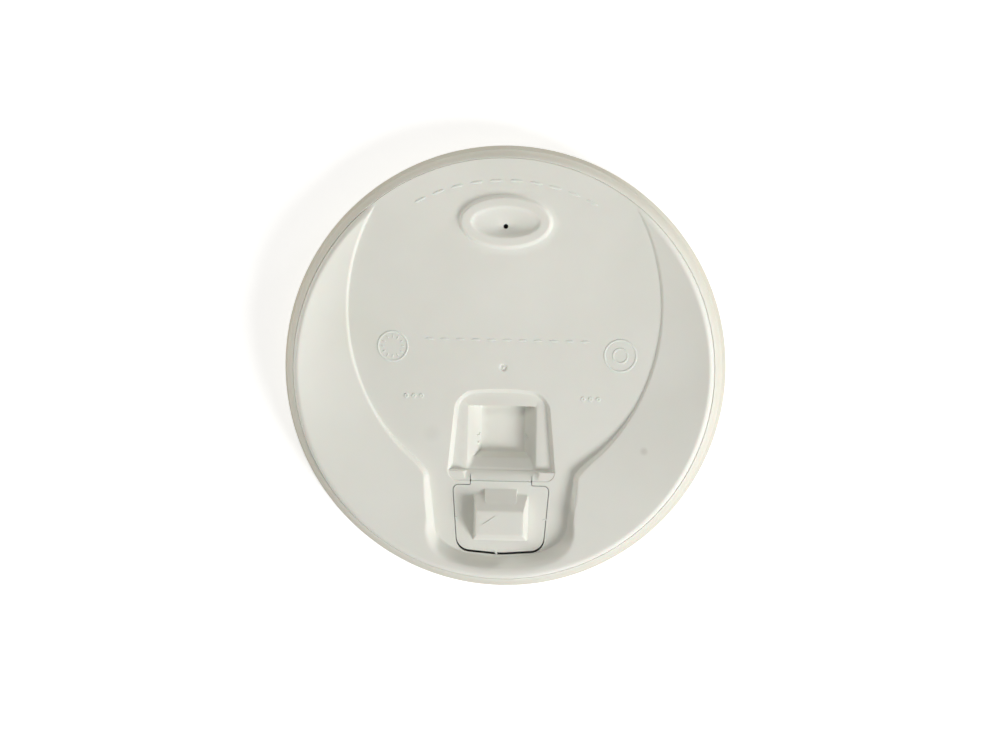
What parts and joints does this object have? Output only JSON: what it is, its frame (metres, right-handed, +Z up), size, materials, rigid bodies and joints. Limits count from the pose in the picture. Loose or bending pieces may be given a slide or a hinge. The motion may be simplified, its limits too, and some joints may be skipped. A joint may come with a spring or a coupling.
{
  "type": "coffee cup lid",
  "caption": "Round press-on lid for a 90 mm paper hot cup, with a raised drinking lip, a vent dish and a fold-back sip tab that locks into a pocket.",
  "frame": {"origin": "centre of the skirt's bottom plane, on the surface that the lid rests on", "axes": "+Z up out of the deck, -Y towards the drinking lip, +Y towards the vent, +X to the right when seen from above with the vent at the top"},
  "size_m": [0.094, 0.094, 0.0125],
  "materials": {
    "lid_plastic": "satin",
    "tab_plastic": "satin"
  },
  "bodies": {
    "lid": {"lid_body": "lid_plastic"},
    "tab": {"sip_tab": "tab_plastic"}
  },
  "joints": [
    {"name": "tab_hinge", "type": "hinge", "parent": "lid", "child": "tab", "pos_m": [0, -0.0234, 0.00915], "axis": [-1, 0, 0], "range_deg": [0, 182]}
  ]
}
